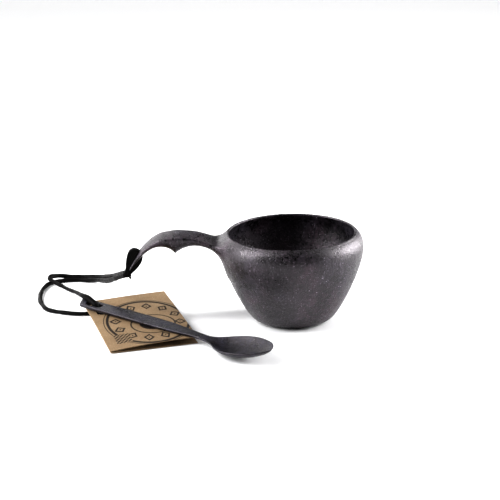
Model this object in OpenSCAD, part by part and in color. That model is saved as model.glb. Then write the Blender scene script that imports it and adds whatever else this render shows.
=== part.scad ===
// Kuksa drinking cup with its spoon and card tag, tied together with a leather lace.
// Origin: centre of the cup's foot, on the table. The handle points along -X and +Z is up.

/* [Bowl] */
// Widest outer diameter of the bowl
bowl_d = 103; // [99:1:107]
// Height of the rim above the table
rim_h = 65; // [63:1:67]
// Radius of the lip at its highest point
rim_r = 46; // [45:0.5:47]
// Wall thickness at the belly
wall = 4; // [3:0.5:4.5]
// Thickness of the bowl's floor
floor_t = 6; // [4:0.5:8]
// Radius of the flat foot
foot_r = 21; // [18:1:24]

/* [Handle eye] */
// Length of the slot in the handle's tip
eye_len = 14; // [13:0.5:15]
// Width of that slot
eye_w = 5.6; // [4.6:0.2:6]

/* [Lace] */
// Diameter of the lace
lace_d = 2.8; // [2.4:0.1:2.8]

/* [Spoon] */
// Slope that rolls the spoon towards its front side, in degrees
spoon_roll = 6; // [4:1:8]
// Width of the spoon's lace slot
spoon_eye_w = 5.2; // [4.6:0.2:5.4]

/* [Tag] */
// Width of the folded tag, from its crease to its free edge
tag_w = 62; // [58:1:62]
// Length of the tag along its crease
tag_len = 100; // [96:1:104]
// Thickness of the card
card_t = 0.5; // [0.4:0.1:0.6]
// Width of the punched hole in both leaves
hole_w = 7; // [6:0.5:8]

/* [Hidden] */
bowl_r = bowl_d / 2;
round_fn = 96;
small_fn = 32;
through = 20;

// Bowl profile, as [radius, height]: the foot's corner, the widest place and the lip, and the
// points that pull the curve between them
foot_pull = [foot_r + 7, 0];
corner_pull = [30.4, 3.2];
foot_corner = [33, 7];
flank_pull = [40.6, 18.4];
belly_h = rim_h - 11;
belly_pull = [bowl_r, belly_h - 12];
shoulder_pull = [bowl_r, rim_h - 6];
lip_pull = [rim_r + 3.4, rim_h - 2.4];
lip_round = 0.8;

// Cavity profile, in the same way
cavity_floor_r = 16;
cavity_floor_pull = [26, floor_t];
cavity_corner_pull = [32, 11];
cavity_corner = [34.5, 17];
cavity_flank_pull = [40, 29];
cavity_belly_r = bowl_r - wall;
cavity_belly_pull = [cavity_belly_r, 42];
cavity_lip = [rim_r - 1.2, rim_h - 1.6];

// Handle stations: [distance out from the belly, drop below the rim, half width,
//                   crown height, depth of the underside, tilt in degrees]
handle_sides = 24;
handle_power = 2.4;
HANDLE = [
    [-7, 6.5, 19.5, 0.4, 24, 0],
    [-3, 6.5, 17.5, 0.6, 16, 0],
    [2.5, 6, 15, 1.2, 8.6, 0],
    [8.5, 4, 13.4, 1.8, 6.8, 0],
    [16.5, 1.4, 12.3, 2, 7, 0],
    [24.5, 0.3, 12, 2, 9.2, 0],
    [32, 0, 12, 2, 14, 0],
    [37, 0.6, 11.8, 2, 10.6, -8],
    [43, 1.8, 11.4, 2, 7.6, -20],
    [49, 5, 10.4, 1.8, 5.2, -38],
    [54.5, 9.6, 8.8, 1.5, 3.8, -50],
    [59.5, 15.4, 7.2, 1.2, 3.2, -56],
    [63.5, 21.4, 6.2, 0.9, 2, -58],
    [65.2, 25, 5, 0.7, 1.2, -59],
    [66.2, 26.8, 2.6, 0.3, 0.6, -60],
];
handle_tip = [-bowl_r - 66.7, rim_h - 27.6];
tip_tilt = -58;
tip_out = [sin(tip_tilt), cos(tip_tilt)];
tip_down = [-cos(tip_tilt), sin(tip_tilt)];
eye_from_tip = 11;
eye_pos = handle_tip - tip_down * eye_from_tip;

// Hitch around the solid end of the eye: [distance past the tip, distance outward]
HITCH = [
    [1.4, 1], [-2.2, 1.8], [-6.4, 3.9], [-10.6, 5.5], [-13.6, 6], [-16, 5], [-17, 2.6],
    [-16.6, 0], [-14.6, -2.4], [-11.8, -3.4], [-8.4, -3.4], [-5, -2.9], [-1.8, -2], [1.4, -1],
];
strap_w = 3.4;
strap_t = 1.6;
knot_r = 2.3;
knot_place = [1.6, -0.4];
tail_r = 0.9;
tail_len = 4.8;
tail_lean = 35;

// Spoon stations: [distance from the end, half width, underside, top or rim, dish depth]
SPOON = [
    [0, 3.8, 5.8, 8.4, -0.2], [2, 4.8, 5.6, 9.0, -0.2], [10, 5.4, 5.6, 9.1, -0.4],
    [30, 5.8, 5.6, 9.1, -0.5], [58, 6.0, 5.5, 8.8, -0.5], [82, 5.8, 5.4, 8.4, -0.5],
    [97, 4.8, 5.3, 8.0, -0.5], [108, 3.7, 5.1, 7.6, -0.4], [118, 3.7, 4.2, 6.8, -0.1],
    [126, 6, 2.8, 6.8, 1.4], [135, 11.2, 0.9, 7.2, 4.4], [144.5, 14.6, 0.3, 8.1, 5.9],
    [154, 15, 0.9, 9.1, 6.2], [163, 13, 3.1, 10, 5.2], [170, 9.6, 6, 10.8, 3.2],
    [174.5, 5.2, 8.8, 11.2, 1], [176, 1.6, 10.2, 11.4, 0.1],
];
spoon_end = [-153, 18.5];
spoon_heading = -39.5;
spoon_roll_h = 6;
spoon_eye_from = 4;
spoon_eye_to = 19;
// How much of the underside's section is a half round; the rest of it is a shallow V
spoon_round = 0.72;
// Width of the spoon's top face as a share of its whole width
spoon_top = 0.9;

// Tag: its front corner at the crease, its direction and the heights of its leaves
tag_corner = [-127.4, -66.5];
tag_heading = 16;
tag_steps_u = 16;
tag_steps_v = 12;
leaf_gap = 0.3;
crease_front = 0.5;
crease_back = 3;
lift_v = 62;
// Distances from the crease at which the back leaf comes down to the table
front_flat_u = 25;
back_flat_u = 52;
back_fall = 34;
// Height of the front leaf's free edge at its two ends, and how sharply the leaf bends there
free_front = 4.9;
free_back = 6.2;
bend_front = 2.2;
bend_back = 1.6;
hole_u = 8.5;
hole_from_v = 68;
hole_to_v = 82;

// Lace route, from the hitch to the spoon, under the tag, round and back to the hitch
ROUTE = [
    [-120.2, 1.5, 36.1], [-123.6, 13, 32], [-127, 28, 26.5], [-131, 45, 20.2], [-136, 62, 14],
    [-142, 79, 8], [-149.5, 91, 4], [-159, 97, 2.2], [-170, 98, 2.2], [-179, 97, 3.6],
    [-185.5, 92.5, 4.6], [-186, 86, 4.6], [-181.5, 80.5, 3.9], [-173, 69, 3.4], [-167, 59.5, 4],
    [-162, 48.5, 6.2], [-157.5, 35, 9], [-153.5, 23.5, 11.6], [-149.2, 17, 11.4],
    [-144.9, 12, 9.7], [-141.4, 9.1, 6.4], [-138.2, 6, 2.4], [-134.8, 4.6, 1.4],
    [-130.8, 5.6, 1.4], [-129.2, 9.8, 1.4], [-132.4, 14.6, 1.4], [-141, 15.4, 1.4], [-152, 13.2, 1.4],
    [-163.4, 15, 1.4], [-179, 22.4, 1.4], [-185.4, 33, 1.4],
    [-189.7, 51, 1.4], [-189.7, 74, 1.4], [-184, 87, 1.4], [-172.5, 92.6, 1.4],
    [-158, 90.5, 1.6], [-147, 78, 5.6], [-137.5, 50, 14.2], [-129, 20, 26], [-120.2, -1.5, 35.3],
];
ring_gap = 2.7 * lace_d;
lace_sides = 8;
strap_sides = 12;
strap_gap = 2;

// ---- shared functions ----

function bezier(a, b, c, d, steps) =
    [for (i = [0:steps]) let (t = i / steps, s = 1 - t)
        s * s * s * a + 3 * s * s * t * b + 3 * s * t * t * c + t * t * t * d];

function unit(v) = v / norm(v);

function curve_point(a, b, c, d, t) =
    ((2 * b) + (c - a) * t + (2 * a - 5 * b + 4 * c - d) * t * t
        + (3 * b - a - 3 * c + d) * t * t * t) / 2;

// Smooth curve through the points, with about one point for every gap of length
function curve(points, gap) =
    let (last = len(points) - 1)
    concat(
        [for (i = [0:last - 1])
            let (steps = max(1, round(norm(points[i + 1] - points[i]) / gap)))
            for (k = [0:steps - 1])
                curve_point(points[max(i - 1, 0)], points[i], points[i + 1],
                    points[min(i + 2, last)], k / steps)],
        [points[last]]);

function heading(path, i) =
    unit(path[min(i + 1, len(path) - 1)] - path[max(i - 1, 0)]);

// Closed skin over rings of an even number of points: its two ends are closed by strips
module skin(rings) {
    count = len(rings[0]);
    rows = len(rings);
    last = (rows - 1) * count;
    sides = [for (i = [0:rows - 2], j = [0:count - 1])
        let (a = i * count + j, b = i * count + (j + 1) % count)
        each [[a, b, b + count], [a, b + count, a + count]]];
    caps = [for (j = [0:count / 2 - 2])
        let (far = count - 1 - j)
        each [[far, far - 1, j], [far - 1, j + 1, j],
            [last + j, last + far - 1, last + far], [last + j, last + j + 1, last + far - 1]]];
    polyhedron([for (ring = rings) each ring], concat(sides, caps), convexity = 8);
}

// Straight slot with round ends, through everything within the given height of its centre
module slot_cut(length, width, height) {
    reach = (length - width) / 2;
    for (side = [-1, 1])
        translate([side * reach, 0, 0])
            cylinder(h = height, d = width, center = true, $fn = small_fn);
    cube([2 * reach, width, height], center = true);
}

// ---- cup ----

function bowl_outline() = concat(
    [[0, 0]],
    bezier([foot_r, 0], foot_pull, corner_pull, foot_corner, 6),
    bezier(foot_corner, flank_pull, belly_pull, [bowl_r, belly_h], 10),
    bezier([bowl_r, belly_h], shoulder_pull, lip_pull, [rim_r + lip_round, rim_h - lip_round], 8),
    [[rim_r, rim_h], [0, rim_h]]);

function cavity_outline() = concat(
    [[0, floor_t]],
    bezier([cavity_floor_r, floor_t], cavity_floor_pull, cavity_corner_pull, cavity_corner, 8),
    bezier(cavity_corner, cavity_flank_pull, cavity_belly_pull, [cavity_belly_r, belly_h], 8),
    [cavity_lip, [rim_r - 1, rim_h + 1], [0, rim_h + 1]]);

// One ring of the handle: a crowned top face over a rounded underside
function handle_ring(s) =
    let (out = [sin(s[5]), cos(s[5])], x = -bowl_r - s[0], z = rim_h - s[1])
    [for (k = [0:handle_sides - 1])
        let (a = k * 360 / handle_sides, side = cos(a),
            bulge = pow(1 - pow(abs(side), handle_power), 0.45),
            n = sin(a) >= 0 ? s[3] * bulge : -s[4] * bulge)
        [x + out[0] * n, s[2] * side, z + out[1] * n]];

module handle() {
    difference() {
        skin([for (s = HANDLE) handle_ring(s)]);
        translate([eye_pos[0], 0, eye_pos[1]])
            rotate([0, tip_tilt, 0])
                slot_cut(eye_len, eye_w, through);
    }
}

module cup() {
    color([0.16, 0.15, 0.17])
        difference() {
            union() {
                rotate_extrude($fn = round_fn) polygon(bowl_outline());
                handle();
            }
            rotate_extrude($fn = round_fn) polygon(cavity_outline());
        }
}

// ---- spoon ----

// One ring of the spoon: rounded underside, and a top that is crowned or dished
function spoon_ring(s) =
    let (height = s[3] - s[2])
    concat(
        [for (k = [0:8])
            let (a = 180 + k * 22.5,
                share = spoon_round * (1 + sin(a)) + (1 - spoon_round) * abs(cos(a)))
            [s[0], s[1] * cos(a), s[2] + height * share]],
        [for (k = [1:7])
            let (side = 1 - k / 4)
            [s[0], s[1] * side * spoon_top, s[3] - s[4] * (1 - side * side)]]);

module place_spoon() {
    translate([spoon_end[0], spoon_end[1], spoon_roll_h])
        rotate([0, 0, spoon_heading])
            rotate([spoon_roll, 0, 0])
                translate([0, 0, -spoon_roll_h])
                    children();
}

module spoon() {
    color([0.17, 0.17, 0.2])
        place_spoon()
            difference() {
                skin([for (s = SPOON) spoon_ring(s)]);
                translate([(spoon_eye_from + spoon_eye_to) / 2, 0, spoon_roll_h])
                    slot_cut(spoon_eye_to - spoon_eye_from, spoon_eye_w, through);
            }
}

// ---- tag ----

function smooth_step(t) = let (c = max(0, min(1, t))) c * c * (3 - 2 * c);

function lift_share(v) = max(0, min(1, v / lift_v));

// Underside of the back leaf: raised by the lace near the hole, flat on the table elsewhere
function back_under(u, v) =
    let (front = crease_front * pow(max(0, 1 - u / front_flat_u), 2),
        back = crease_back * smooth_step((back_flat_u - u) / back_fall))
    front * (1 - lift_share(v)) + back * lift_share(v) + 0.02;

// Underside of the front leaf: it springs open from the crease and flattens out
function front_under(u, v) =
    let (start = back_under(0, v) + card_t + leaf_gap,
        free = free_front + (free_back - free_front) * v / tag_len,
        bend = bend_front + (bend_back - bend_front) * v / tag_len)
    start + (free - card_t - start) * (1 - pow(1 - u / tag_w, bend));

// One ring of a leaf across its width, its top from left to right and its underside back
function leaf_ring(v, under) = concat(
    [for (i = [0:tag_steps_u]) let (u = i * tag_w / tag_steps_u) [u, v, under(u, v) + card_t]],
    [for (i = [tag_steps_u:-1:0]) let (u = i * tag_w / tag_steps_u) [u, v, under(u, v)]]);

module leaf(under) {
    translate([tag_corner[0], tag_corner[1], 0])
        rotate([0, 0, tag_heading])
            difference() {
                skin([for (j = [tag_steps_v:-1:0]) leaf_ring(j * tag_len / tag_steps_v, under)]);
                translate([hole_u, (hole_from_v + hole_to_v) / 2, 0])
                    rotate([0, 0, 90])
                        slot_cut(hole_to_v - hole_from_v, hole_w, through);
            }
}

module tag_back_leaf() {
    color([0.72, 0.56, 0.38])
        leaf(function (u, v) back_under(u, v));
}

module tag_front_leaf() {
    color([0.76, 0.6, 0.41])
        leaf(function (u, v) front_under(u, v));
}

// ---- lace ----

// Tube ring across the path, with one corner of its outline facing up
function tube_ring(centre, along, radius, sides) =
    let (across = unit(cross(along, [0, 0, 1])), over = cross(across, along))
    [for (k = [0:sides - 1])
        let (a = (k + 0.5) * 360 / sides)
        centre + radius * (across * cos(a) + over * sin(a))];

// The lace never sinks below the table
module lace() {
    path = [for (p = curve(ROUTE, ring_gap)) [p[0], p[1], max(p[2], lace_d / 2)]];
    color([0.07, 0.065, 0.07])
        skin([for (i = [0:len(path) - 1])
            tube_ring(path[i], heading(path, i), lace_d / 2, lace_sides)]);
}

function hitch_place(p) = handle_tip + tip_down * p[0] + tip_out * p[1];

// Flat strap ring: wide across the handle, thin in the plane of the loop
function strap_ring(centre, along) =
    let (thin = [-along[1], along[0]])
    [for (k = [0:strap_sides - 1])
        let (a = k * 360 / strap_sides, n = sin(a) * strap_t / 2)
        [centre[0] + thin[0] * n, cos(a) * strap_w / 2, centre[1] + thin[1] * n]];

module lace_hitch() {
    path = curve([for (p = HITCH) hitch_place(p)], strap_gap);
    knot = hitch_place(knot_place);
    color([0.05, 0.05, 0.055]) {
        skin([for (i = [len(path) - 1:-1:0]) strap_ring(path[i], heading(path, i))]);
        translate([knot[0], 0, knot[1]]) {
            sphere(r = knot_r, $fn = small_fn);
            rotate([0, 180 - tail_lean, 0])
                cylinder(h = tail_len, r = tail_r, $fn = small_fn);
        }
    }
}

cup();
spoon();
tag_back_leaf();
tag_front_leaf();
lace();
lace_hitch();
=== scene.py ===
"""Kuksa cup with its spoon, leather lace and folded card tag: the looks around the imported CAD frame.

Everything is in metres, in the frame's own axes: origin at the cup's foot, handle along -X, +Z up.
"""

import math

import bpy
import numpy as np
from mathutils import Matrix, Vector
from mathutils.geometry import delaunay_2d_cdt


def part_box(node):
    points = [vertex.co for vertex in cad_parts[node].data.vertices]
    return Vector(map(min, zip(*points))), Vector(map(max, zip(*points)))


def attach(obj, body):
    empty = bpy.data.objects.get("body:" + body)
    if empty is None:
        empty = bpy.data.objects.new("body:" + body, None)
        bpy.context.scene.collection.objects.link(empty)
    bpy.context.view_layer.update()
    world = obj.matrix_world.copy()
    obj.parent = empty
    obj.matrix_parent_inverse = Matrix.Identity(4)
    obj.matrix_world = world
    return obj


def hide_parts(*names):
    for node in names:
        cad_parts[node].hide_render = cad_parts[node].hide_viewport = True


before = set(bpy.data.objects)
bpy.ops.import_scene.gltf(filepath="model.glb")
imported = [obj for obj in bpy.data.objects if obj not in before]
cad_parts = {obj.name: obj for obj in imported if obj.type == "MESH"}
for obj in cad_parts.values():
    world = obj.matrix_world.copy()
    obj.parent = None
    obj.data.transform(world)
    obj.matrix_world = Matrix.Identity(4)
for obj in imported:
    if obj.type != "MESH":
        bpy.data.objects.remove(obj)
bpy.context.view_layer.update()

MM = 0.001
CUP_LOW, CUP_HIGH = (np.array(corner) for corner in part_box("cup"))
BOWL_R = CUP_HIGH[0]
HANDLE_CROWN = 2 * MM
RIM_H = CUP_HIGH[2] - HANDLE_CROWN
# What lies on the table keeps this far above it
TABLE_GAP = 0.02 * MM


# ---------------------------------------------------------------- camera

def add_camera():
    """The view: a long lens, looking down on the cup from the front, with a slight roll."""
    tilt = math.radians(17.39)
    roll = math.radians(-1.27)
    distance = 1.1477
    aim = Vector((-0.030, 0, 0.0517))
    forward = Vector((0, math.cos(tilt), -math.sin(tilt)))
    right = Vector((1, 0, 0))
    up = Vector((0, math.sin(tilt), math.cos(tilt)))
    across = right * math.cos(roll) + up * math.sin(roll)
    over = up * math.cos(roll) - right * math.sin(roll)
    data = bpy.data.cameras.new("camera")
    data.lens = 115.2
    data.sensor_width = 36
    data.clip_start = 0.05
    data.clip_end = 50
    camera = bpy.data.objects.new("camera", data)
    turn = Matrix((across, over, -forward)).transposed().to_4x4()
    camera.matrix_world = Matrix.Translation(aim - forward * distance) @ turn
    bpy.context.scene.collection.objects.link(camera)
    bpy.context.scene.camera = camera


add_camera()


# ---------------------------------------------------------------- mesh helpers

def add_mesh(name, points, faces, smooth=True):
    """A new object made of those points and faces."""
    mesh = bpy.data.meshes.new(name)
    mesh.from_pydata([tuple(p) for p in np.asarray(points, float)], [], [tuple(f) for f in faces])
    mesh.validate()
    mesh.update()
    if smooth:
        mesh.polygons.foreach_set("use_smooth", [True] * len(mesh.polygons))
    piece = bpy.data.objects.new(name, mesh)
    bpy.context.scene.collection.objects.link(piece)
    return piece


def unit(v):
    """The vector, or each row of vectors, at length 1."""
    v = np.asarray(v, float)
    return v / np.maximum(np.linalg.norm(v, axis=-1, keepdims=True), 1e-12)


def curve_point(a, b, c, d, t):
    """A point between b and c on the smooth curve through a, b, c and d."""
    return (2 * b + (c - a) * t + (2 * a - 5 * b + 4 * c - d) * t * t
            + (3 * b - a - 3 * c + d) * t ** 3) / 2


def smooth_curve(points, gap):
    """A smooth curve through the points, with about one point for every gap of its length."""
    points = np.asarray(points, float)
    last = len(points) - 1
    out = []
    for i in range(last):
        steps = max(1, round(np.linalg.norm(points[i + 1] - points[i]) / gap))
        before, after = points[max(i - 1, 0)], points[min(i + 2, last)]
        out += [curve_point(before, points[i], points[i + 1], after, k / steps) for k in range(steps)]
    return np.array(out + [points[last]])


def length_along(path):
    """How far along the path each of its points is."""
    return np.concatenate([[0], np.cumsum(np.linalg.norm(np.diff(path, axis=0), axis=1))])


STRAP_SIDES = 16
STRAP_SQUARENESS = 0.55


def strap_mesh(name, path, width, thickness, turn, side, taper=None, floor=True):
    """A flat strap swept along the path. turn gives its twist in radians, side its wide direction."""
    count = STRAP_SIDES
    power = STRAP_SQUARENESS
    along = unit(np.gradient(path, axis=0))
    wide = unit(side - along * np.sum(side * along, axis=1, keepdims=True))
    thin = np.cross(wide, along)
    angle = np.arange(count) * 2 * math.pi / count
    ring_w = np.sign(np.cos(angle)) * np.abs(np.cos(angle)) ** power * width / 2
    ring_t = np.sign(np.sin(angle)) * np.abs(np.sin(angle)) ** power * thickness / 2
    points = []
    for i, place in enumerate(path):
        size = 1 if taper is None else taper[i]
        across = wide[i] * math.cos(turn[i]) + thin[i] * math.sin(turn[i])
        over = thin[i] * math.cos(turn[i]) - wide[i] * math.sin(turn[i])
        points.append(place + size * (np.outer(ring_w, across) + np.outer(ring_t, over)))
    points = np.concatenate(points)
    if floor:
        points[:, 2] = np.maximum(points[:, 2], TABLE_GAP)
    faces = []
    for i in range(len(path) - 1):
        for k in range(count):
            a, b = i * count + k, i * count + (k + 1) % count
            faces.append((a, b, b + count, a + count))
    end = (len(path) - 1) * count
    faces.append(tuple(range(count - 1, -1, -1)))
    faces.append(tuple(end + k for k in range(count)))
    return add_mesh(name, points, faces)


# ---------------------------------------------------------------- lace

LACE_D = 2.8 * MM
# From the hitch out beside the tag, back to the spoon's slot, under the tag, round and back to the hitch
LACE_ROUTE = np.array([
    (-120.2, 1.5, 36.1), (-123.6, 13, 32), (-127, 28, 26.5), (-131, 45, 20.2), (-136, 62, 14),
    (-142, 79, 8), (-149.5, 91, 4), (-159, 97, 2.2), (-170, 98, 2.2), (-179, 97, 3.6),
    (-185.5, 92.5, 4.6), (-186, 86, 4.6), (-181.5, 80.5, 3.9), (-173, 69, 3.4), (-167, 59.5, 4),
    (-162, 48.5, 6.2), (-157.5, 35, 9), (-153.5, 23.5, 11.6), (-149.2, 17, 11.4),
    (-144.9, 12, 9.7), (-141.4, 9.1, 6.4), (-138.2, 6, 2.4), (-134.8, 4.6, 1.4),
    (-130.8, 5.6, 1.4), (-129.2, 9.8, 1.4), (-132.4, 14.6, 1.4), (-141, 15.4, 1.4),
    (-152, 13.2, 1.4), (-163.4, 15, 1.4), (-179, 22.4, 1.4), (-185.4, 33, 1.4),
    (-189.7, 51, 1.4), (-189.7, 74, 1.4), (-184, 87, 1.4), (-172.5, 92.6, 1.4),
    (-158, 90.5, 1.6), (-147, 78, 5.6), (-137.5, 50, 14.2), (-129, 20, 26), (-120.2, -1.5, 35.3),
]) * MM


LACE_GAP = 1.2 * MM
LACE_WIDE, LACE_THICK = 3.4 * MM, 2.7 * MM
# Twist in radians at shares of the lace's length: half on edge where it hangs, flatter where it lies
LACE_TWIST = [(0, 1.25), (0.1, 1.0), (0.2, 0.75), (0.27, 0.35), (0.34, 0.5), (0.4, 0.8), (0.435, 0.15),
              (0.5, 0.25), (0.62, 0.55), (0.72, 1.0), (0.8, 0.8), (0.9, 1.05), (1, 1.3)]
# Size at shares of its length: bunched up in the spoon's slot, pressed thinner under the card
LACE_SQUEEZE = [(0, 1), (0.40, 1), (0.43, 1.3), (0.455, 1.3), (0.48, 0.84), (0.62, 0.84), (0.66, 1), (1, 1)]


def lace_path():
    """The lace's middle line, kept its own half thickness above the table."""
    path = smooth_curve(LACE_ROUTE, LACE_GAP)
    path[:, 2] = np.maximum(path[:, 2], LACE_D / 2)
    return path


def make_lace():
    """The lace as a flat strap along its route, twisted and squeezed."""
    path = lace_path()
    walked = length_along(path)
    share = walked / walked[-1]
    twist = np.interp(share, *zip(*LACE_TWIST))
    squeeze = np.interp(share, *zip(*LACE_SQUEEZE))
    along = unit(np.gradient(path, axis=0))
    side = unit(np.cross(along, (0, 0, 1)))
    # Hand-cut edges: the width and the twist wander a little along it
    squeeze = squeeze * (1 + 0.05 * np.sin(walked / (3.1 * MM)) + 0.04 * np.sin(walked / (1.7 * MM) + 1))
    twist = twist + 0.12 * np.sin(walked / (5.3 * MM))
    lace = strap_mesh("lace_strap", path, LACE_WIDE, LACE_THICK, twist, side, taper=squeeze)
    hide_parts("lace")
    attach(lace, "root")
    return lace, path


lace, lace_line = make_lace()


# ---------------------------------------------------------------- solid from a distance function

# How many points are worked out at a time
BLOCK = 400000
CORNERS = [(i, j, k) for i in (0, 1) for j in (0, 1) for k in (0, 1)]


def sample_grid(distance, low, high, cell):
    """The distance at every point of a grid over the box, worked out a block at a time."""
    counts = np.ceil((high - low) / cell).astype(int) + 1
    axes = [low[k] + cell * np.arange(counts[k]) for k in range(3)]
    values = np.empty(counts)
    plane = np.stack(np.meshgrid(axes[1], axes[2], indexing="ij"), -1).reshape(-1, 2)
    rows = max(1, int(BLOCK / len(plane)))
    for start in range(0, counts[0], rows):
        xs = axes[0][start:start + rows]
        block = np.empty((len(xs), len(plane), 3))
        block[:, :, 0] = xs[:, None]
        block[:, :, 1:] = plane[None]
        values[start:start + rows] = distance(block.reshape(-1, 3)).reshape(len(xs), counts[1], counts[2])
    return values, counts


def cell_points(values, active):
    """For each cell that the surface passes through, the mean of its edge crossings, in cells."""
    held = {c: values[tuple((active + c).T)] for c in CORNERS}
    place = np.zeros((len(active), 3))
    weight = np.zeros(len(active))
    for a in CORNERS:
        for axis in range(3):
            if a[axis]:
                continue
            b = tuple(a[n] + (n == axis) for n in range(3))
            va, vb = held[a], held[b]
            cut = (va < 0) != (vb < 0)
            t = np.where(cut, va / np.where(cut, va - vb, 1), 0)
            spot = np.tile(np.array(a, float), (len(active), 1))
            spot[:, axis] += t
            place += spot * cut[:, None]
            weight += cut
    return active + place / weight[:, None]


def cell_faces(inside, number, counts):
    """A four-sided face across every grid edge that the surface cuts."""
    size = counts - 1
    faces = []
    for axis in range(3):
        step = np.eye(3, dtype=int)[axis]
        one, two = [n for n in range(3) if n != axis]
        limit = counts - step
        first = inside[:limit[0], :limit[1], :limit[2]]
        second = inside[step[0]:, step[1]:, step[2]:]
        edges = np.argwhere(first != second)
        good = (edges[:, one] > 0) & (edges[:, two] > 0)
        good &= (edges[:, one] < size[one]) & (edges[:, two] < size[two])
        edges = edges[good]
        cells = []
        for da, db in ((0, 0), (-1, 0), (-1, -1), (0, -1)):
            move = edges.copy()
            move[:, one] += da
            move[:, two] += db
            cells.append(number[tuple(move.T)])
        quads = np.stack(cells, -1)
        leaving = first[tuple(edges.T)]
        flip = leaving if axis == 1 else ~leaving
        quads[flip] = quads[flip][:, ::-1]
        faces.append(quads)
    return np.concatenate(faces)


def settle_on(distance, points, longest):
    """The points moved along the distance's slope until they lie on the exact surface."""
    nudge = 0.04 * MM
    least_square = 0.05
    for _ in range(3):
        here = distance(points)
        slope = np.stack([(distance(points + nudge * e) - distance(points - nudge * e)) / (2 * nudge)
                          for e in np.eye(3)], -1)
        move = here[:, None] * slope / np.maximum(np.sum(slope ** 2, axis=1), least_square)[:, None]
        far = np.linalg.norm(move, axis=1)
        move *= (np.minimum(far, longest) / np.maximum(far, 1e-12))[:, None]
        points = points - move
    return points


def surface_net(distance, low, high, cell):
    """Meshes where distance is zero: one point a cell, then moved onto the exact surface."""
    low, high = np.asarray(low, float), np.asarray(high, float)
    values, counts = sample_grid(distance, low, high, cell)
    inside = values < 0
    size = counts - 1
    total = np.zeros(size, int)
    for i, j, k in CORNERS:
        total += inside[i:i + size[0], j:j + size[1], k:k + size[2]]
    active = np.argwhere((total > 0) & (total < len(CORNERS)))
    number = np.full(size, -1)
    number[tuple(active.T)] = np.arange(len(active))
    points = low + cell_points(values, active) * cell
    return settle_on(distance, points, 0.7 * cell), cell_faces(inside, number, counts)


def soft_min(a, b, k):
    """The smaller of two distances, rounded where they meet; k is about three times the fillet."""
    reach = 1.5 * k
    h = np.maximum(reach - np.abs(a - b), 0) / reach
    return np.minimum(a, b) - h ** 3 * reach / 6


def soft_max(a, b, k):
    """The larger of two distances, rounded where they meet."""
    return -soft_min(-a, -b, k)


def bezier(a, b, c, d, steps):
    """Points along a curve from a to d, pulled towards b and c."""
    t = np.linspace(0, 1, steps + 1)[:, None]
    s = 1 - t
    a, b, c, d = (np.array(p, float) for p in (a, b, c, d))
    return s ** 3 * a + 3 * s * s * t * b + 3 * s * t * t * c + t ** 3 * d


def outline_distance(points, outline):
    """Signed distance to a closed outline in its plane, negative inside."""
    best = np.full(len(points), 1e9)
    inside = np.zeros(len(points), bool)
    for a, b in zip(outline, np.roll(outline, -1, axis=0)):
        edge = b - a
        span = edge @ edge
        if span < 1e-18:
            continue
        away = points - a
        t = np.clip(away @ edge / span, 0, 1)
        best = np.minimum(best, np.sum((away - t[:, None] * edge) ** 2, axis=1))
        crosses = (a[1] > points[:, 1]) != (b[1] > points[:, 1])
        rise = edge[1] if abs(edge[1]) > 1e-15 else 1e-15
        inside ^= crosses & (points[:, 0] < a[0] + (points[:, 1] - a[1]) * edge[0] / rise)
    return np.where(inside, -1, 1) * np.sqrt(best)


class FieldTable:
    """A distance in a plane, kept on a fine grid and read between its points."""

    def __init__(self, make, low, high, cell):
        self.low, self.cell = np.array(low, float), cell
        counts = np.ceil((np.array(high) - self.low) / cell).astype(int) + 2
        axes = [self.low[k] + cell * np.arange(counts[k]) for k in range(2)]
        spots = np.stack(np.meshgrid(*axes, indexing="ij"), -1).reshape(-1, 2)
        made = np.atleast_2d(make(spots).T).T
        self.values = made.reshape(counts[0], counts[1], -1)
        self.counts = counts

    def __call__(self, points):
        spot = (points - self.low) / self.cell
        spot = np.clip(spot, 0, self.counts - 1.001)
        i = spot.astype(int)
        f = spot - i
        v = self.values
        a = v[i[:, 0], i[:, 1]] * (1 - f[:, :1]) + v[i[:, 0] + 1, i[:, 1]] * f[:, :1]
        b = v[i[:, 0], i[:, 1] + 1] * (1 - f[:, :1]) + v[i[:, 0] + 1, i[:, 1] + 1] * f[:, :1]
        return a * (1 - f[:, 1:]) + b * f[:, 1:]


# ---------------------------------------------------------------- cup

# The bowl's outlines close this many millimetres beyond its axis, so that no edge lies on it
PAST_AXIS = 20


def bowl_outline():
    """Half the bowl's outside in section, out from its axis: foot, flank, belly, shoulder and rim."""
    r, h = BOWL_R / MM, RIM_H / MM
    parts = [
        np.array([(-PAST_AXIS, 0), (21, 0)]),
        bezier((21, 0), (28, 0), (30.4, 3.2), (33, 7), 12),
        bezier((33, 7), (40.6, 18.4), (r, h - 23), (r, h - 11), 24),
        bezier((r, h - 11), (r, h - 6), (49.4, h - 2.4), (46.8, h - 0.8), 16),
        bezier((46.8, h - 0.8), (46.5, h - 0.25), (46.3, h), (46, h), 5),
        np.array([(-PAST_AXIS, h)]),
    ]
    return np.concatenate(parts) * MM


def cavity_outline():
    """Half the hollow in section, up past the rim: a floor 6 mm thick and a wall of 4 mm."""
    r, h = BOWL_R / MM, RIM_H / MM
    parts = [
        np.array([(-PAST_AXIS, 6)]),
        bezier((16, 6), (26, 6), (32, 11), (34.5, 17), 14),
        bezier((34.5, 17), (40, 29), (r - 4, 42), (r - 4, h - 11), 18),
        bezier((r - 4, h - 11), (r - 4, h - 6), (45.6, h - 3), (45, h - 1.4), 10),
        np.array([(45.2, h + 12), (-PAST_AXIS, h + 12)]),
    ]
    return np.concatenate(parts) * MM


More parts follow.
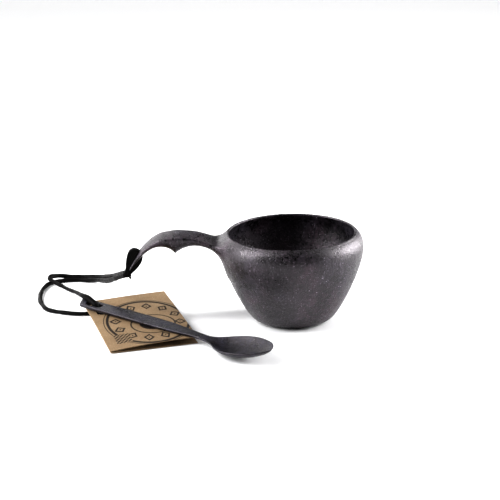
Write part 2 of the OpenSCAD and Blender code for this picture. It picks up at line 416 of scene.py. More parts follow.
# Handle stations in millimetres: distance out from the belly, drop below the rim, half width,
# crown height, depth of the underside
HANDLE = np.array([
    (-7, 6.8, 19.5, 0.3, 24), (-3, 6.5, 17.5, 0.6, 16), (2.5, 5.9, 15, 1.2, 8.6), (8.5, 4, 13.4, 1.8, 6.8),
    (16.5, 1.4, 12.3, 2, 7), (24.5, 0.3, 12, 2, 9.2), (32, 0, 12, 2, 14), (37, 0.6, 11.8, 2, 10.6),
    (43, 1.8, 11.5, 2, 7.6), (49, 5, 10.6, 1.9, 5.2), (54.5, 9.6, 9.2, 1.6, 3.8),
    (59.5, 15.4, 7.8, 1.3, 3.2), (63.5, 21.4, 6.6, 1, 2.2), (65.2, 25, 5.6, 0.8, 1.4),
    (66.3, 27, 4.4, 0.6, 1),
]) * MM
SCALLOPS = [((-17.3, -29.8), 21.4), ((-42.4, -21.5), 12.8)]
TIP = np.array((-BOWL_R - 66.7 * MM, RIM_H - 27.6 * MM))
TIP_TILT = math.radians(-58)
TIP_OUT = np.array((math.sin(TIP_TILT), math.cos(TIP_TILT)))
TIP_DOWN = np.array((-math.cos(TIP_TILT), math.sin(TIP_TILT)))
EYE_FROM_TIP = 11 * MM
EYE_LENGTH, EYE_WIDTH = 14 * MM, 5.6 * MM
# The scallops end this far out from the belly, and fade out over this length
SCALLOP_END, SCALLOP_FADE = 54.5 * MM, 2 * MM
# Between this far inside the belly and twice this, the underside goes back to its stations' own depth
ROOT_REACH = 3 * MM
UNDERSIDE_POWER = 2.5
EDGE_ROUND, TIP_ROUND, RIM_ROUND = 1.1 * MM, 0.8 * MM, 0.9 * MM
# The fillet where the handle meets the bowl, and how much it grows towards the top
ROOT_FILLET, ROOT_FILLET_GROWS = 4, 1.5
ROOT_LOW, ROOT_RISE = 50 * MM, 7 * MM
# The box in the XZ plane that holds the handle, the part of space where it counts, and where its tip begins
HANDLE_BOX_LOW, HANDLE_BOX_HIGH = (-0.126, 0.026), (-0.036, 0.074)
HANDLE_INNER_X, HANDLE_REACH_Y, HANDLE_LOW_Z = -0.037, 0.027, 0.027
TIP_X = -0.1
CUP_CELL = 0.85 * MM


def handle_line():
    """The handle's edge line in the XZ plane, its normals, and its sizes at each point."""
    rows = np.column_stack([-BOWL_R - HANDLE[:, 0], RIM_H - HANDLE[:, 1], HANDLE[:, 2:]])
    fine = smooth_curve(rows, 0.5 * MM)
    line = fine[:, :2]
    along = unit(np.gradient(line, axis=0))
    normal = np.column_stack([-along[:, 1], along[:, 0]])
    normal *= np.sign(normal[:, 1:2] + 1e-9)
    sizes = fine[:, 2:].copy()
    switch = -BOWL_R - SCALLOP_END
    depth = np.full(len(line), 1.0)
    for centre, radius in SCALLOPS:
        spot = np.array((centre[0] * MM - BOWL_R, RIM_H + centre[1] * MM))
        away = line - spot
        half = np.sum(away * normal, axis=1)
        rest = half ** 2 - np.sum(away ** 2, axis=1) + (radius * MM) ** 2
        hit = half - np.sqrt(np.maximum(rest, 0))
        depth = np.where((rest > 0) & (hit > 0), np.minimum(depth, hit), depth)
    use = np.clip((line[:, 0] - switch) / SCALLOP_FADE, 0, 1)
    depth = np.where(depth > 0.9, sizes[:, 2], depth)
    sizes[:, 2] = depth * use + sizes[:, 2] * (1 - use)
    root = np.clip((line[:, 0] + BOWL_R - ROOT_REACH) / ROOT_REACH, 0, 1)
    sizes[:, 2] = sizes[:, 2] * (1 - root) + fine[:, 4] * root
    return line, normal, sizes


def along_handle(points):
    """For points in the XZ plane: height over the edge line, the sizes there, and how far past its end."""
    line, normal, sizes = HANDLE_LINE
    out = np.zeros((len(points), 5))
    for start in range(0, len(points), 20000):
        part = points[start:start + 20000]
        best = np.full(len(part), 1e9)
        for i in range(len(line) - 1):
            a, edge = line[i], line[i + 1] - line[i]
            along = (part - a) @ edge / (edge @ edge)
            t = np.clip(along, 0, 1)
            away = part - a - t[:, None] * edge
            gap = np.sum(away ** 2, axis=1)
            near = gap < best
            best = np.where(near, gap, best)
            n = unit(normal[i] * (1 - t[:, None]) + normal[i + 1] * t[:, None])
            rise = np.sum(away * n, axis=1)
            over = np.sign(rise) * np.sqrt(gap)
            past = np.zeros(len(part))
            if i == len(line) - 2:
                past = np.maximum(along - 1, 0) * np.linalg.norm(edge)
                over = np.where(past > 0, rise, over)
            found = np.column_stack([over, sizes[i] * (1 - t[:, None]) + sizes[i + 1] * t[:, None], past])
            out[start:start + 20000][near] = found[near]
    return out


HANDLE_LINE = handle_line()


def handle_distance(points, table):
    """Distance to the handle: a crowned top and a rounded underside that meet at the edge line."""
    rise, half, crown, depth, past = table(points[:, [0, 2]]).T
    y = np.abs(points[:, 1])
    y = np.sqrt(y * y + (0.05 * MM) ** 2)
    slope = 2 * crown * y / half ** 2
    top = (rise - crown * (1 - (y / half) ** 2)) / np.sqrt(1 + slope ** 2)
    power = UNDERSIDE_POWER
    low = np.maximum(-rise, 0) + 1e-7
    ratio_y, ratio_n = y / half, low / depth
    mixed = (ratio_y ** power + ratio_n ** power) ** (1 / power)
    grow = np.sqrt((ratio_y ** (power - 1) / half) ** 2 + (ratio_n ** (power - 1) / depth) ** 2)
    under = (mixed - 1) / np.maximum(grow / np.maximum(mixed, 1e-6) ** (power - 1), 1e-6)
    side = soft_max(top, under, EDGE_ROUND)
    return soft_max(side, past - 0.05 * MM, TIP_ROUND)


def slot_distance(across, along, width, length):
    """Distance to a straight slot with round ends, in its plane."""
    reach = (length - width) / 2
    past = np.maximum(np.abs(along) - reach, 0)
    return np.hypot(past, across) - width / 2


def make_cup():
    """The bowl and its handle as one hollowed shell, with the lace's eye in the tip."""
    outer = bowl_outline()
    cavity = cavity_outline()
    high_r, high_z = 0.062, 0.08
    clear = 2 * MM

    def profiles(spots):
        return np.column_stack([outline_distance(spots, outer), outline_distance(spots, cavity)])

    bowl_table = FieldTable(profiles, (0, -0.006), (high_r, high_z), 0.25 * MM)
    handle_table = FieldTable(along_handle, HANDLE_BOX_LOW, HANDLE_BOX_HIGH, 0.35 * MM)
    eye = TIP - TIP_DOWN * EYE_FROM_TIP

    def distance(points):
        r = np.hypot(points[:, 0], points[:, 1])
        body, hollow = bowl_table(np.column_stack([r, points[:, 2]])).T
        near = (points[:, 0] < HANDLE_INNER_X) & (np.abs(points[:, 1]) < HANDLE_REACH_Y)
        near &= points[:, 2] > HANDLE_LOW_Z
        grip = np.full(len(points), 0.02)
        grip[near] = handle_distance(points[near], handle_table)
        tip = points[:, 0] < TIP_X
        local = points[tip][:, [0, 2]] - eye
        hole = slot_distance(points[tip, 1], local @ TIP_DOWN, EYE_WIDTH, EYE_LENGTH)
        grip[tip] = soft_max(grip[tip], -hole, RIM_ROUND)
        rise = np.clip((points[:, 2] - ROOT_LOW) / ROOT_RISE, 0, 1)
        fillet = (ROOT_FILLET + ROOT_FILLET_GROWS * rise * rise * (3 - 2 * rise)) * MM
        return soft_max(soft_min(body, grip, fillet), -hollow, RIM_ROUND)

    low = np.array((CUP_LOW[0] - clear, -BOWL_R - clear, -0.0012))
    high = np.array((BOWL_R + clear, BOWL_R + clear, CUP_HIGH[2] + clear))
    points, faces = surface_net(distance, low, high, CUP_CELL)
    cup = add_mesh("kuksa_cup", points, faces)
    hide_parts("cup")
    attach(cup, "root")
    return cup


cup = make_cup()


# ---------------------------------------------------------------- spoon

# Spoon stations in millimetres: distance from the end, half width, underside, rim, dish depth
SPOON = np.array([
    (-6, 4.8, 5.6, 9.1, -0.1), (3, 5.1, 5.6, 9.1, -0.1), (10, 5.4, 5.6, 9.1, -0.2),
    (30, 5.8, 5.6, 9.1, -0.4), (58, 6.0, 5.5, 8.8, -0.4), (82, 5.8, 5.4, 8.4, -0.4),
    (97, 4.8, 5.3, 8.0, -0.4), (108, 3.7, 5.1, 7.6, -0.3), (118, 3.8, 4.2, 6.9, 0.0),
    (126, 6, 2.8, 6.8, 1.4), (135, 11.2, 0.9, 7.2, 4.4), (144.5, 14.6, 0.3, 8.1, 5.9),
    (154, 15, 0.9, 9.1, 6.2), (163, 13, 3.1, 10, 5.2), (170, 9.6, 6, 10.8, 3.2),
    (174.5, 5.2, 8.8, 11.2, 1.0), (176, 2.0, 10.2, 11.4, 0.2), (177, 0.6, 10.8, 11.5, 0.1),
]) * MM
SPOON_END = np.array((-153, 18.5, 6)) * MM
SPOON_HEADING = math.radians(-39.5)
SPOON_ROLL = math.radians(6)
SPOON_EYE = (4 * MM, 19 * MM, 5.2 * MM)
# The end is cut aslant: its far side reaches further by this share of the width, and stands higher
END_SLANT = 0.44
END_RISE = 1.6 * MM
END_WIDTH, END_LENGTH = 10 * MM, 20 * MM
# Where the flat handle's section turns into the bowl's, and over what length
BOWL_FROM, BOWL_BLEND = 104 * MM, 22 * MM
# The bowl's underside is this much round, and the rest of it a straight V
BOWL_ROUND = 0.72
# The handle's underside is flat, and turns up at its edges by this share of its thickness
EDGE_LIFT, EDGE_POWER = 0.75, 5
DISH_WIDTH = 0.93
SPOON_CELL = 0.5 * MM


def spoon_turn():
    """The turn from the spoon's own axes to where it lies: its heading, and its roll on the tag."""
    turn = Matrix.Rotation(SPOON_HEADING, 3, "Z") @ Matrix.Rotation(SPOON_ROLL, 3, "X")
    return np.array(turn)


def make_spoon():
    """The spoon in its own axes, with its length along X, then turned to where it lies."""
    rows = smooth_curve(SPOON, 1 * MM)
    rows = rows[np.argsort(rows[:, 0])]
    reach = SPOON[-2, 0]

    def distance(points):
        s, y, z = points.T
        half, under, rim, dish = (np.interp(s, rows[:, 0], rows[:, k]) for k in range(1, 5))
        half = np.maximum(half, 0.3 * MM)
        far = np.clip(0.5 + y / END_WIDTH, 0, 1)
        z = z - END_RISE * far * np.clip(1 - s / END_LENGTH, 0, 1) ** 2
        share = np.clip(np.abs(y) / half, 0, 0.995)
        lift = rim - under
        arc = np.sqrt(1 - share ** 2)
        low = under + lift * (BOWL_ROUND * (1 - arc) + (1 - BOWL_ROUND) * share)
        tilt = lift / half * (BOWL_ROUND * share / arc + 1 - BOWL_ROUND)
        flat_low = under + EDGE_LIFT * lift * share ** EDGE_POWER
        flat_tilt = lift / half * EDGE_LIFT * EDGE_POWER * share ** (EDGE_POWER - 1)
        bowled = np.clip((s - BOWL_FROM) / BOWL_BLEND, 0, 1)
        low = low * bowled + flat_low * (1 - bowled)
        tilt = tilt * bowled + flat_tilt * (1 - bowled)
        below = (low - z) / np.sqrt(1 + tilt ** 2)
        inner = np.clip(np.abs(y) / (DISH_WIDTH * half), 0, 1)
        bowl = rim - dish * (1 - inner ** 2)
        bend = 2 * dish * inner / (DISH_WIDTH * half)
        above = (z - bowl) / np.sqrt(1 + bend ** 2)
        side = np.abs(y) - half
        slant = (-s - END_SLANT * (y + END_WIDTH / 2)) / math.hypot(1, END_SLANT)
        ends = np.maximum(slant, s - reach)
        f = soft_max(above, below, 0.8 * MM)
        f = soft_max(f, side, 0.9 * MM)
        f = soft_max(f, ends, 0.7 * MM)
        begin, end, width = SPOON_EYE
        hole = slot_distance(y, s - (begin + end) / 2, width, end - begin)
        return soft_max(f, -hole, 0.7 * MM)

    low = (-7 * MM, -17 * MM, -1 * MM)
    high = (179 * MM, 17 * MM, 14 * MM)
    points, faces = surface_net(distance, low, high, SPOON_CELL)
    turn = spoon_turn()
    points = (points - (0, 0, SPOON_END[2])) @ turn.T + SPOON_END
    spoon = add_mesh("kuksa_spoon", points, faces)
    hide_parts("spoon")
    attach(spoon, "spoon")
    return spoon


spoon = make_spoon()


# ---------------------------------------------------------------- card tag

TAG_CORNER = np.array((-127.4, -66.5)) * MM
TAG_HEADING = math.radians(16)
TAG_W, TAG_L, CARD = 62 * MM, 100 * MM, 0.5 * MM
HOLE_U, HOLE_FROM, HOLE_TO, HOLE_W = 8.5 * MM, 68 * MM, 82 * MM, 7 * MM
HOLE_V = (HOLE_FROM + HOLE_TO) / 2
HOLE_STEPS = 12
LEAF_STEP = 2 * MM
LEAF_GAP = 0.3 * MM
# Height of the back leaf at the crease, at the tag's two ends, and where it comes down to the table
CREASE_FRONT, CREASE_BACK = 0.5 * MM, 3 * MM
FRONT_FLAT_U, BACK_FLAT_U, BACK_FALL, LIFT_V = 25 * MM, 52 * MM, 34 * MM, 62 * MM
# Height of the front leaf's free edge at the tag's two ends, and how sharply the leaf bends there
FREE_FRONT, FREE_BACK = 4.9 * MM, 6.2 * MM
BEND_FRONT, BEND_BACK = 2.2, 1.6


def back_under(u, v):
    """Underside of the back leaf: raised by the lace near the hole, flat on the table elsewhere."""
    lift = np.clip(v / LIFT_V, 0, 1)
    front = CREASE_FRONT * np.clip(1 - u / FRONT_FLAT_U, 0, 1) ** 2
    t = np.clip((BACK_FLAT_U - u) / BACK_FALL, 0, 1)
    back = t * t * (3 - 2 * t)
    return front * (1 - lift) + CREASE_BACK * back * lift + TABLE_GAP


def front_under(u, v):
    """Underside of the front leaf: it springs open from the crease and flattens out."""
    start = back_under(0 * u, v) + CARD + LEAF_GAP
    free = FREE_FRONT + (FREE_BACK - FREE_FRONT) * v / TAG_L
    bend = BEND_FRONT + (BEND_BACK - BEND_FRONT) * v / TAG_L
    return start + (free - CARD - start) * (1 - np.clip(1 - u / TAG_W, 0, 1) ** bend)


def hole_gap(u, v):
    """Distance in the leaf from the edge of its hole, negative inside it."""
    return slot_distance(u - HOLE_U, v - HOLE_V, HOLE_W, HOLE_TO - HOLE_FROM)


def leaf_plan():
    """Points and triangles of a leaf's flat shape, its hole cut out."""
    us = np.linspace(0, TAG_W, round(TAG_W / LEAF_STEP) + 1)
    vs = np.linspace(0, TAG_L, round(TAG_L / LEAF_STEP) + 1)
    reach = (HOLE_TO - HOLE_FROM - HOLE_W) / 2
    hole = []
    for side in (1, -1):
        for k in range(HOLE_STEPS + 1):
            a = math.pi * k / HOLE_STEPS
            hole.append((HOLE_U + side * HOLE_W / 2 * math.cos(a),
                         HOLE_V + side * (reach + HOLE_W / 2 * math.sin(a))))
    points = [(u, v) for u in us for v in vs if hole_gap(u, v) > 0.8 * MM]
    ring = len(hole)
    verts = [Vector(p) for p in hole + points]
    edges = [(k, (k + 1) % ring) for k in range(ring)]
    flat, _, faces, *_ = delaunay_2d_cdt(verts, edges, [], 0, 1e-7)
    flat = np.array([(p.x, p.y) for p in flat])
    kept = []
    for face in faces:
        centre = flat[list(face)].mean(axis=0)
        if hole_gap(*centre) > -0.02 * MM:
            kept.append(tuple(face))
    return flat, kept


def make_leaf(name, node, body, under, flat, faces):
    """One leaf of card over that underside, with its flat places kept for the print."""
    u, v = flat.T
    low = under(u, v)
    e1 = np.array((math.cos(TAG_HEADING), math.sin(TAG_HEADING)))
    e2 = np.array((-math.sin(TAG_HEADING), math.cos(TAG_HEADING)))
    plan = TAG_CORNER + u[:, None] * e1 + v[:, None] * e2
    count = len(flat)
    points = np.concatenate([np.column_stack([plan, low + CARD]), np.column_stack([plan, low])])
    area = [flat[f[0], 0] * (flat[f[1], 1] - flat[f[2], 1]) + flat[f[1], 0] * (flat[f[2], 1] - flat[f[0], 1])
            + flat[f[2], 0] * (flat[f[0], 1] - flat[f[1], 1]) for f in faces]
    tops = [f if a > 0 else f[::-1] for f, a in zip(faces, area)]
    edges = {(a, b): True for f in tops for a, b in zip(f, f[1:] + f[:1])}
    rim = [(a, b) for a, b in edges if (b, a) not in edges]
    skin = tops + [tuple(count + n for n in f[::-1]) for f in tops]
    skin += [(a, a + count, b + count, b) for a, b in rim]
    leaf = add_mesh(name, points, skin, smooth=False)
    leaf.data.polygons.foreach_set("use_smooth", [True] * (2 * len(tops)) + [False] * len(rim))
    leaf.data.set_sharp_from_angle(angle=math.radians(40))
    layer = leaf.data.uv_layers.new(name="leaf")
    spots = np.concatenate([flat, flat]) / TAG_L
    corner = np.empty(len(leaf.data.loops), int)
    leaf.data.loops.foreach_get("vertex_index", corner)
    layer.data.foreach_set("uv", spots[corner].reshape(-1))
    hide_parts(node)
    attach(leaf, body)
    return leaf


plan_points, plan_faces = leaf_plan()
back_leaf = make_leaf("card_back_leaf", "tag_back_leaf", "tag_back", back_under, plan_points, plan_faces)
front_leaf = make_leaf("card_front_leaf", "tag_front_leaf", "tag_front", front_under, plan_points, plan_faces)


# ---------------------------------------------------------------- hitch

# The loop through the eye: places down past the tip and out from the handle's top, in millimetres
HITCH = np.array([
    (1.4, 1), (-2.2, 1.8), (-6.4, 3.9), (-10.6, 5.5), (-13.6, 6), (-16, 5), (-17, 2.6),
    (-16.6, 0), (-14.6, -2.4), (-11.8, -3.4), (-8.4, -3.4), (-5, -2.9), (-1.8, -2), (1.4, -1),
]) * MM
# The loop's strands lie inside one another: the shares of its reach above and below the handle
STRAND_SHARES = [(0.98, 1.0), (0.72, 0.72), (0.46, 0.45), (0.22, 0.22)]
STRAND_APART, STRAND_LEAN = 1.3 * MM, 0.16
KNOT = np.array((1.6, -0.4)) * MM
KNOT_AXIS = (-0.72, 0.1, -0.28)
WRAP_TURNS, WRAP_R, WRAP_PITCH = 1.6, 1.8 * MM, 1.7 * MM


def hitch_place(down, out, y=0.0):
    """The place that far down past the handle's tip and out from its top."""
    spot = TIP + TIP_DOWN * down + TIP_OUT * out
    return np.array((spot[0], y, spot[1]))


def make_hitch():
    """The lace's loop through the eye, the wraps of its knot and its short cut tail, as one piece."""
    strands = []
    for lean in (-1, 1):
        for above, below in STRAND_SHARES:
            route = [hitch_place(down, out * (above if out > 0 else below), STRAND_APART * lean)
                     for down, out in HITCH]
            loop = smooth_curve(route, 0.6 * MM)
            side = np.tile((0.0, 1.0, 0.0), (len(loop), 1))
            strands.append(strap_mesh("hitch_strand", loop, 2.6 * MM, 2.5 * MM,
                                      np.full(len(loop), STRAND_LEAN * lean), side, floor=False))
    knot = hitch_place(*KNOT)
    axis = unit(np.array(KNOT_AXIS))
    one = unit(np.cross(axis, (0, 1, 0)))
    two = np.cross(axis, one)
    turns = np.linspace(0, WRAP_TURNS * 2 * math.pi, 60)
    wrap = np.array([knot + axis * (t / 6.3 - WRAP_TURNS / 2) * WRAP_PITCH
                     + WRAP_R * (one * math.cos(t) + two * math.sin(t)) for t in turns])
    coil = strap_mesh("hitch_wrap", wrap, 2.3 * MM, 1.8 * MM, np.zeros(len(wrap)),
                      np.tile(axis, (len(wrap), 1)), floor=False)
    tail_line = smooth_curve([knot, knot + np.array((1.2, -0.3, -1.6)) * MM,
                              knot + np.array((2.3, -0.5, -3.6)) * MM], 0.5 * MM)
    tail = strap_mesh("hitch_tail", tail_line, 2.2 * MM, 1.4 * MM, np.full(len(tail_line), 0.4),
                      np.tile((0.0, 1.0, 0.0), (len(tail_line), 1)), floor=False)
    bpy.ops.object.select_all(action="DESELECT")
    for piece in (coil, tail, *strands):
        piece.select_set(True)
    bpy.context.view_layer.objects.active = strands[0]
    bpy.ops.object.join()
    knotted = strands[0]
    knotted.name = "lace_knot"
    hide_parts("lace_hitch")
    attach(knotted, "root")
    return knotted


hitch = make_hitch()


# ---------------------------------------------------------------- materials

class Nodes:
    """Short calls for a material's nodes."""

    def __init__(self, name):
        self.material = bpy.data.materials.new(name)
        self.material.use_nodes = True
        self.tree = self.material.node_tree
        self.shader = self.tree.nodes["Principled BSDF"]

    def make(self, kind, inputs=(), **settings):
        """A node of that kind, with its settings and the values or links of its inputs."""
        node = self.tree.nodes.new(kind)
        for key, value in settings.items():
            setattr(node, key, value)
        for slot, value in dict(inputs).items():
            self.put(node.inputs[slot], value)
        return node

    def put(self, socket, value):
        """Gives the socket a value, or a link when the value is another node's output."""
        if isinstance(value, bpy.types.NodeSocket):
            self.tree.links.new(value, socket)
        else:
            socket.default_value = value

    def math(self, operation, a, b=0.0):
        node = self.make("ShaderNodeMath", operation=operation)
        for socket, value in zip(node.inputs, (a, b)):
            self.put(socket, value)
        return node.outputs[0]

    def noise(self, vector, scale, detail=4.0, roughness=0.55, distortion=0.0):
        node = self.make("ShaderNodeTexNoise", {"Vector": vector, "Scale": scale, "Detail": detail,
                                                "Roughness": roughness, "Distortion": distortion})
        return node.outputs["Factor" if "Factor" in node.outputs else "Fac"]

    def range(self, value, low, high, to_low=0.0, to_high=1.0):
        """The value's place between low and high, as a number from to_low to to_high."""
        node = self.make("ShaderNodeMapRange", {"Value": value, "From Min": low, "From Max": high,
                                                "To Min": to_low, "To Max": to_high})
        return node.outputs["Result"]

    def blend(self, share, a, b):
        node = self.make("ShaderNodeMix", data_type="RGBA")
        self.put(node.inputs["Factor"], share)
        self.put(node.inputs[6], a)
        self.put(node.inputs[7], b)
        return node.outputs[2]

    def position(self, scale=(1, 1, 1), turn=(0, 0, 0)):
        """Places on the piece, in metres, stretched and turned."""
        spot = self.make("ShaderNodeTexCoord").outputs["Object"]
        node = self.make("ShaderNodeMapping", {"Vector": spot, "Scale": scale, "Rotation": turn})
        return node.outputs["Vector"]

    def bump(self, height, strength, distance, under=None):
        node = self.make("ShaderNodeBump", {"Height": height, "Strength": strength, "Distance": distance})
        if under is not None:
            self.put(node.inputs["Normal"], under)
        return node.outputs["Normal"]


def grey(r, g, b):
    """A linear colour from screen values of 0 to 255."""
    def linear(c):
        c /= 255
        return c / 12.92 if c <= 0.04045 else ((c + 0.055) / 1.055) ** 2.4
    return (linear(r), linear(g), linear(b), 1.0)


def composite(name, dark, mid, warm, light, flecks, rough, spread, specular):
    """Moulded wood-fibre composite: cloudy colour, grain, short fibres, light flecks and a satin skin."""
    n = Nodes(name)
    spot = n.position()
    cloud = n.noise(spot, 48, 4, 0.55, 0.8)
    patch = n.noise(spot, 190, 4, 0.6, 0.6)
    grain = n.noise(spot, 720, 3, 0.65, 0.4)
    fine = n.noise(spot, 2100, 2, 0.6)
    drag = n.noise(n.position((1, 1, 0.3), (0.1, 0.15, 0)), 560, 2, 0.5)
    tone = n.math("MULTIPLY", cloud, 0.24)
    for layer, share in ((patch, 0.24), (grain, 0.28), (drag, 0.14), (fine, 0.1)):
        tone = n.math("ADD", tone, n.math("MULTIPLY", layer, share))
    tone = n.range(tone, 0.5 - 0.6 * spread, 0.5 + 1.4 * spread)
    tint = n.range(n.noise(spot, 33, 2, 0.5), 0.44, 0.66)
    body = n.blend(tint, mid, warm)
    colour = n.blend(tone, dark, body)
    cells = n.make("ShaderNodeTexVoronoi", {"Vector": spot, "Scale": 760.0, "Randomness": 1.0})
    pick = n.make("ShaderNodeSeparateColor", {"Color": cells.outputs["Color"]})
    size = n.range(pick.outputs["Green"], 0.0, 1.0, 0.12, 0.36)
    specks = n.range(n.math("SUBTRACT", size, cells.outputs["Distance"]), 0.0, 0.12)
    specks = n.math("MULTIPLY", specks, n.range(pick.outputs["Red"], 0.7, 0.95))
    fibre_a = n.noise(n.position((1, 1, 0.14), (0.5, 0.3, 0)), 1500, 2, 0.5)
    fibre_b = n.noise(n.position((0.14, 1, 1), (0.2, 0.9, 0.4)), 1500, 2, 0.5)
    fibres = n.math("MAXIMUM", n.range(fibre_a, 0.64, 0.74), n.range(fibre_b, 0.65, 0.75))
    marks = n.math("MAXIMUM", n.math("MULTIPLY", fibres, 0.5), specks)
    marks = n.math("MULTIPLY", marks, n.range(tone, 0.2, 0.9, 0.35 * flecks, flecks))
    colour = n.blend(marks, colour, light)
    n.put(n.shader.inputs["Base Color"], colour)
    shine = n.range(n.math("ADD", patch, grain), 0.75, 1.25, rough - 0.1, rough + 0.2)
    n.put(n.shader.inputs["Roughness"], shine)
    n.shader.inputs["Specular IOR Level"].default_value = specular
    n.shader.inputs["Specular Tint"].default_value = (0.98, 0.9, 0.97, 1)
    coarse = n.bump(patch, 0.4, 0.5 * MM)
    middle = n.bump(grain, 0.9, 0.4 * MM, coarse)
    n.put(n.shader.inputs["Normal"], n.bump(fine, 0.8, 0.12 * MM, middle))
    return n.material


def leather():
    """Black lace leather: short creases across it, a pebbled skin and a soft sheen."""
    n = Nodes("black_leather")
    spot = n.position()
    broad = n.noise(spot, 210, 4, 0.6, 0.5)
    pebble = n.make("ShaderNodeTexVoronoi", {"Vector": spot, "Scale": 1500.0}, feature="SMOOTH_F1")
    colour = n.blend(n.range(broad, 0.35, 0.75), grey(2, 2, 2), grey(19, 16, 17))
    n.put(n.shader.inputs["Base Color"], colour)
    n.put(n.shader.inputs["Roughness"], n.range(broad, 0.3, 0.75, 0.42, 0.62))
    n.shader.inputs["Specular IOR Level"].default_value = 0.07
    skin = n.bump(pebble.outputs["Distance"], 0.5, 0.2 * MM)
    n.put(n.shader.inputs["Normal"], n.bump(broad, 0.7, 0.5 * MM, skin))
    return n.material


def oval(n, u, v, centre, radii):
    """How far out a place is from the oval's centre, 1 on the oval itself, and its two parts."""
    a = n.math("DIVIDE", n.math("SUBTRACT", u, centre[0]), radii[0])
    b = n.math("DIVIDE", n.math("SUBTRACT", v, centre[1]), radii[1])
    far = n.math("SQRT", n.math("ADD", n.math("MULTIPLY", a, a), n.math("MULTIPLY", b, b)))
    return far, a, b


def oval_line(n, u, v, centre, radii, width):
    """1 along an oval line of that width, in leaf coordinates."""
    soft = 0.25 * MM
    far, _, _ = oval(n, u, v, centre, radii)
    size = (radii[0] + radii[1]) / 2
    gap = n.math("ABSOLUTE", n.math("MULTIPLY", n.math("SUBTRACT", far, 1.0), size))
    return n.range(gap, width / 2 + soft, width / 2 - soft)


def lozenges(n, u, v, centre, radii, count):
    """A ring of small lozenges with a dot in each, along an oval."""
    far, a, b = oval(n, u, v, centre, radii)
    part = n.math("MULTIPLY", n.math("ARCTAN2", b, a), count / (2 * math.pi))
    part = n.math("SUBTRACT", part, n.math("FLOOR", part))
    sideways = n.math("ABSOLUTE", n.math("SUBTRACT", part, 0.5))
    outward = n.math("ABSOLUTE", n.math("MULTIPLY", n.math("SUBTRACT", far, 1.0), 3.6))
    reach = n.math("ADD", n.math("MULTIPLY", sideways, 2.2), outward)
    outline = n.math("MULTIPLY", n.range(reach, 0.74, 0.7), n.range(reach, 0.4, 0.44))
    return n.math("MAXIMUM", outline, n.range(reach, 0.16, 0.12))


def checker_patch(n, u, v):
    """A small patch near the corner and the checks in it."""
    patch_u = n.math("DIVIDE", n.math("SUBTRACT", u, 12.6 * MM), 5.6 * MM)
    patch_v = n.math("DIVIDE", n.math("SUBTRACT", v, 17.2 * MM), 8.2 * MM)
    edge = n.math("MAXIMUM", n.math("ABSOLUTE", patch_u), n.math("ABSOLUTE", patch_v))
    wave = n.math("MULTIPLY", n.math("SINE", n.math("MULTIPLY", u, 2250.0)),
                  n.math("SINE", n.math("MULTIPLY", v, 1550.0)))
    return n.range(edge, 1.01, 0.98), n.range(wave, -0.12, 0.12)


def ornament(n, pulp):
    """The print: oval rings, a ring of lozenges, a dark oval and a checker patch, on upper faces only."""
    flat = n.make("ShaderNodeUVMap", uv_map="leaf").outputs["UV"]
    axes = n.make("ShaderNodeSeparateXYZ", {"Vector": flat})
    u = n.math("MULTIPLY", axes.outputs["X"], TAG_L)
    v = n.math("MULTIPLY", axes.outputs["Y"], TAG_L)
    mid, wide, inset = (36 * MM, 42 * MM), (31 * MM, 44 * MM), 2.6 * MM
    inner_mid = (38.5 * MM, 36 * MM)
    thin = oval_line(n, u, v, mid, wide, 0.7 * MM)
    thick = oval_line(n, u, v, mid, (wide[0] - inset, wide[1] - inset), 2.4 * MM)
    inner = oval_line(n, u, v, inner_mid, (15.6 * MM, 18 * MM), 1.2 * MM)
    disc, _, _ = oval(n, u, v, inner_mid, (9.6 * MM, 11 * MM))
    eye = n.range(disc, 1.03, 0.97)
    ink = n.math("MAXIMUM", n.math("MAXIMUM", thin, thick), n.math("MAXIMUM", inner, eye))
    ink = n.math("MAXIMUM", ink, lozenges(n, u, v, mid, (22.6 * MM, 31.5 * MM), 12))
    patch, checks = checker_patch(n, u, v)
    ink = n.math("MAXIMUM", n.math("MULTIPLY", ink, n.math("SUBTRACT", 1.0, patch)),
                 n.math("MULTIPLY", patch, checks))
    worn = n.range(pulp, 0.2, 0.5, 0.8, 0.98)
    geometry = n.make("ShaderNodeNewGeometry")
    up = n.make("ShaderNodeSeparateXYZ", {"Vector": geometry.outputs["True Normal"]}).outputs["Z"]
    return n.math("MULTIPLY", n.math("MULTIPLY", ink, worn), n.range(up, 0.3, 0.5))


def card(name, printed, low, high):
    """Kraft card: pulp clouds, short fibres, a matt skin, and a folk ornament on the printed leaf."""
    n = Nodes(name)
    spot = n.position()
    cloud = n.noise(spot, 70, 5, 0.6, 0.4)
    pulp = n.noise(spot, 900, 4, 0.65)
    fibre = n.noise(n.position((1, 0.22, 1), (0, 0, 0.7)), 1100, 2, 0.5)
    colour = n.blend(n.range(cloud, 0.3, 0.7), low, high)
    colour = n.blend(n.range(pulp, 0.35, 0.75, 0.0, 0.35), colour, grey(108, 86, 64))
    colour = n.blend(n.range(fibre, 0.62, 0.72, 0.0, 0.4), colour, grey(164, 146, 122))
    if printed:
        colour = n.blend(ornament(n, pulp), colour, grey(22, 16, 15))
    n.put(n.shader.inputs["Base Color"], colour)
    n.put(n.shader.inputs["Roughness"], n.range(pulp, 0.3, 0.7, 0.7, 0.9))
    n.shader.inputs["Specular IOR Level"].default_value = 0.25
    n.put(n.shader.inputs["Normal"], n.bump(pulp, 0.3, 0.12 * MM))
    return n.material


def paint(piece, material):
    """The piece with that material alone."""
    piece.data.materials.clear()
    piece.data.materials.append(material)


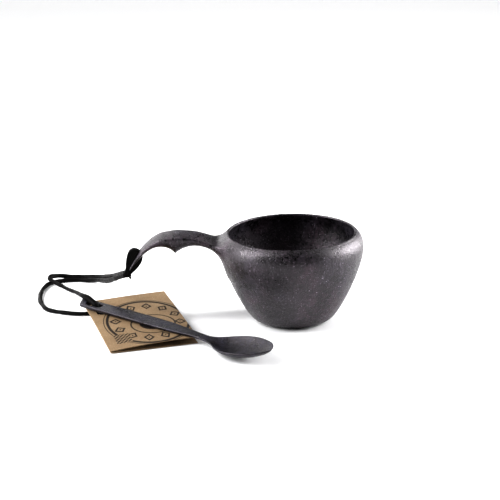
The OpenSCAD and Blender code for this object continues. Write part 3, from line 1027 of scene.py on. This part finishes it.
paint(cup, composite("dark_composite", grey(1, 1, 2), grey(40, 37, 44), grey(52, 37, 46),
                     grey(178, 168, 182), 0.85, 0.29, 0.036, 0.7))
paint(spoon, composite("spoon_composite", grey(6, 6, 9), grey(38, 38, 50), grey(42, 38, 48),
                       grey(120, 118, 134), 0.4, 0.34, 0.055, 0.5))
black_leather = leather()
paint(lace, black_leather)
paint(hitch, black_leather)
paint(front_leaf, card("kraft_card_printed", True, grey(130, 109, 84), grey(148, 127, 100)))
# The back leaf gets lighter card colours than the front leaf: painted light on its inner face, which lies in
# shade inside the fold
paint(back_leaf, card("kraft_card_plain_painted_light", False, grey(150, 128, 102), grey(170, 147, 120)))


# ---------------------------------------------------------------- floor and light

def add_stage():
    """A plain pale floor that runs past the view, and an even white surround."""
    n = Nodes("stage_floor")
    n.shader.inputs["Base Color"].default_value = (0.88, 0.88, 0.885, 1)
    n.shader.inputs["Roughness"].default_value = 0.9
    n.shader.inputs["Specular IOR Level"].default_value = 0.1
    far = 6.0
    floor = add_mesh("stage_floor", [(-far, -far, 0), (far, -far, 0), (far, far, 0), (-far, far, 0)],
                     [(0, 1, 2, 3)], smooth=False)
    floor.location.z = -0.0002
    paint(floor, n.material)
    world = bpy.data.worlds.new("surround")
    world.use_nodes = True
    shade = world.node_tree.nodes["Background"]
    shade.inputs["Color"].default_value = (1.0, 1.0, 1.0, 1)
    shade.inputs["Strength"].default_value = 0.06
    bpy.context.scene.world = world


def hang_light(data, name, place, toward):
    """Puts a light at that place, with its back turned toward that direction."""
    light = bpy.data.objects.new(name, data)
    light.location = place
    light.rotation_euler = Vector(toward).to_track_quat("Z", "Y").to_euler()
    bpy.context.scene.collection.objects.link(light)


def add_sky_light(name, toward, spread, power):
    """A broad, distant light: the direction it stands in, how wide it looks in degrees, its strength."""
    data = bpy.data.lights.new(name, "SUN")
    data.angle = math.radians(spread)
    data.energy = power
    hang_light(data, name, (0, 0, 1), toward)


def add_softbox(name, place, size, brightness):
    """A tall panel that faces the cup: its middle, its width and height, and how bright it looks."""
    data = bpy.data.lights.new(name, "AREA")
    data.shape = "RECTANGLE"
    data.size, data.size_y = size
    data.energy = brightness * math.pi * size[0] * size[1]
    hang_light(data, name, place, Vector(place) - Vector((-0.02, 0, 0.04)))


add_stage()
add_softbox("softbox_left", (-0.86, -0.14, 0.56), (0.18, 0.9), 36)
add_softbox("softbox_right", (0.86, 0.28, 0.3), (0.7, 0.5), 17)
add_sky_light("light_left", (-0.8, 0.38, 0.66), 84, 1.9)
add_sky_light("light_right", (0.8, 0.28, 0.44), 80, 3.1)
add_sky_light("light_back", (-0.4, 0.86, 0.28), 40, 0.8)
bpy.context.scene.view_settings.view_transform = "Standard"
bpy.context.scene.view_settings.gamma = 0.8
